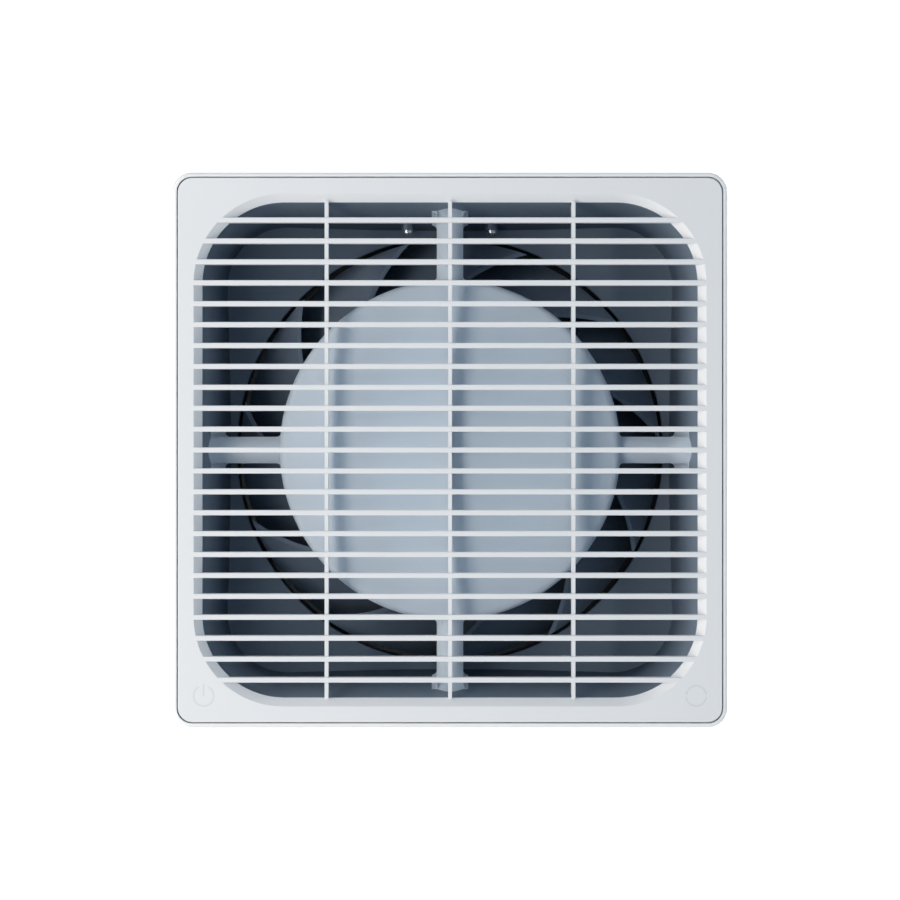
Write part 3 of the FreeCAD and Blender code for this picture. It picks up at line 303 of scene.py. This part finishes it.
def finishes():
    """Material of each record slot."""
    return {
        "white_shell": moulded("white_shell", SHELL, 0.36, wear=0.15, mottle=0.012),
        "light_panel": moulded("light_panel", PANEL, 0.42, wear=0.12, mottle=0.012),
        "symbol": moulded("symbol", (0.70, 0.72, 0.75), 0.30, wear=0.0, mottle=0.02),
        "bracket_plastic": moulded("bracket_plastic", BRACKET, 0.46, wear=0.12, mottle=0.02),
        # The duct's finish carries painted light at the lip and painted shade at the foot of the walls.
        "dark_plastic": moulded("dark_plastic", DUCT, 0.42, wear=0.0, mottle=0.06, painted_shading=duct_painted_light_and_shade),
        # Near-black, low-sheen shroud: black plastic made darker as painted shade in the gap round the
        # blade tips.
        "shroud_plastic": moulded("shroud_plastic", SHROUD_BLACK_AND_PAINTED_SHADE, 0.85, wear=0.0, mottle=0.1, gloss=0.1),
        "impeller_plastic": moulded("impeller_plastic", IMPELLER, 0.34, wear=0.0, mottle=0.06),
        "guard_plastic": moulded("guard_plastic", SHELL, 0.38, wear=0.12, mottle=0.015),
        "black_plastic": moulded("black_plastic", (0.030, 0.031, 0.034), 0.40, wear=0.2, mottle=0.1),
        "screw_steel": metal("screw_steel", (0.78, 0.79, 0.80), 0.24),
        "steel": metal("steel", (0.62, 0.63, 0.65), 0.32, (1.0, 14.0, 1.0)),
        "ferrite": moulded("ferrite", (0.055, 0.055, 0.060), 0.55, grain=0.0002, depth=0.00003),
        "copper": windings("copper", (0.80, 0.36, 0.16)),
        "brass": metal("brass", (0.84, 0.66, 0.32), 0.26, (1.0, 10.0, 1.0)),
        "circuit_board": circuit("circuit_board", (0.020, 0.150, 0.070)),
        "components": moulded("components", (0.035, 0.035, 0.040), 0.45, wear=0.25, mottle=0.15),
        "lead_sleeve": rubber("lead_sleeve", (0.045, 0.045, 0.050), 0.6),
        "foam": foam("foam", (0.060, 0.060, 0.065)),
        "foot_rubber": rubber("foot_rubber", (0.090, 0.095, 0.105)),
    }


def dress(slots):
    """Gives every CAD node the finish of its record slot."""
    for row in frame["record"]["subparts"]:
        node = frame["nodes"][row["node"]]
        node.data.materials.clear()
        node.data.materials.append(slots[row["material_slot"]])


# Studio

CASING = ("outer_shell", "front_grille", "power_symbol", "mode_symbol", "rear_cover")
KEY_DISTANCE = 1.5
KEY_SIZE = (0.6, 3.0)
KEY_DROP = 0.25
# Name, degrees to the left of the camera, watts, colour and the nodes that it spares
KEYS = (
    ("key", 40, 28.0, (1.09, 1.00, 0.89), ()),
    ("side_key", 76, 38.0, (0.98, 1.00, 1.00), CASING),
    ("side_fill", -94, 9.0, (1.00, 1.00, 1.00), ()),
)
FRONT_LIGHT = (0.235, 0.315, 0.395)
# Where each further light of the surround starts and is full, along the fan's axis, and its colour
SURROUND = (
    (-0.30, -0.12, (0.82, 0.85, 0.87)),
    (0.15, 0.45, (0.10, 0.12, 0.14)),
)
BACKDROP = 1.05
FLOOR_GLOW = (0.55, 1.0)
FLOOR_GLOW_REACH = (0.3, 1.6)


def floor():
    """Seamless white floor, which glows more with distance so that it meets the white background."""
    bpy.ops.mesh.primitive_circle_add(vertices=96, radius=9.0, fill_type="NGON", location=(0, 0, 0))
    sheet = bpy.context.object
    sheet.name = "studio_floor"
    shader = Shader("studio_floor")
    tone = shader.noise(3.0, 3.0)
    base = shader.mixed(tone, (0.88, 0.88, 0.88), (0.93, 0.93, 0.93))
    shader.join(base, shader.surface.inputs["Base Color"])
    fill(shader.surface, Roughness=0.9, Emission_Color=(1, 1, 1, 1))
    away = shader.add("ShaderNodeVectorMath", operation="LENGTH")
    shader.join(shader.place, away.inputs[0])
    shader.join(shader.spread(away.outputs["Value"], *FLOOR_GLOW, *FLOOR_GLOW_REACH),
                shader.surface.inputs["Emission Strength"])
    sheet.data.materials.append(shader.material)
    sheet.visible_diffuse = False
    sheet.visible_glossy = False
    sheet.visible_shadow = False


def surround():
    """Cool light from the front, bright from the sides and weak from behind, on a white background."""
    world = bpy.data.worlds.new("surround")
    bpy.context.scene.world = world
    world.use_nodes = True
    tree = world.node_tree
    join = tree.links.new
    direction = add_node(tree, "ShaderNodeSeparateXYZ")
    join(add_node(tree, "ShaderNodeTexCoord").outputs["Generated"], direction.inputs[0])
    light = tree.nodes["Background"]
    fill(light, Color=(*FRONT_LIGHT, 1))
    for start, end, colour in SURROUND:
        share = add_node(tree, "ShaderNodeMapRange", interpolation_type="SMOOTHSTEP")
        fill(share, From_Min=start, From_Max=end)
        join(direction.outputs["Y"], share.inputs["Value"])
        further = add_node(tree, "ShaderNodeBackground")
        fill(further, Color=(*colour, 1))
        light = blended(tree, share.outputs["Result"], light, further)
    white = add_node(tree, "ShaderNodeBackground")
    fill(white, Color=(1, 1, 1, 1), Strength=BACKDROP)
    shown = blended(tree, add_node(tree, "ShaderNodeLightPath").outputs["Is Camera Ray"], light, white)
    join(shown.outputs[0], tree.nodes["World Output"].inputs["Surface"])


def blended(tree, share, first, second):
    """Mix of two lights of the surround, from the first to the second."""
    mix = add_node(tree, "ShaderNodeMixShader")
    for source, socket in zip((share, first.outputs[0], second.outputs[0]), mix.inputs):
        tree.links.new(source, socket)
    return mix


def softbox(name, place, size, power, colour=(1, 1, 1), spared=()):
    """Rectangular soft light aimed at the middle of the fan. It doesn't light the spared nodes."""
    data = bpy.data.lights.new(name, "AREA")
    data.shape = "RECTANGLE"
    data.size, data.size_y = size
    data.energy = power
    data.color = colour
    lamp = bpy.data.objects.new(name, data)
    bpy.context.scene.collection.objects.link(lamp)
    lamp.location = place
    aim = Vector((0, 0, AXIS_HEIGHT)) - Vector(place)
    lamp.rotation_euler = aim.to_track_quat("-Z", "Y").to_euler()
    lamp.visible_camera = False
    if spared:
        receivers = bpy.data.collections.new(name + "_receivers")
        for node in spared:
            receivers.objects.link(frame["nodes"][node])
        for member in receivers.collection_objects:
            member.light_linking.link_state = "EXCLUDE"
        lamp.light_linking.receiver_collection = receivers


def camera():
    data = bpy.data.cameras.new("camera")
    data.sensor_width = SENSOR
    data.lens = SENSOR * CAMERA_DISTANCE / VIEW_WIDTH
    data.clip_start, data.clip_end = 0.05, 30.0
    eye = bpy.data.objects.new("camera", data)
    bpy.context.scene.collection.objects.link(eye)
    eye.location = (0, FRONT - CAMERA_DISTANCE, AXIS_HEIGHT)
    eye.rotation_euler = (math.radians(90), 0, 0)
    bpy.context.scene.camera = eye


def studio():
    floor()
    surround()
    for name, degrees, power, colour, spared in KEYS:
        angle = math.radians(degrees)
        left, near = KEY_DISTANCE * math.sin(angle), KEY_DISTANCE * math.cos(angle)
        softbox(name, (-left, FRONT - near, AXIS_HEIGHT - KEY_DROP), KEY_SIZE, power, colour, spared)
    softbox("back_fill", (1.0, 1.6, 0.9), (1.2, 1.2), 16.0)
    bpy.context.scene.view_settings.view_transform = "Standard"
    camera()


dress(finishes())
studio()
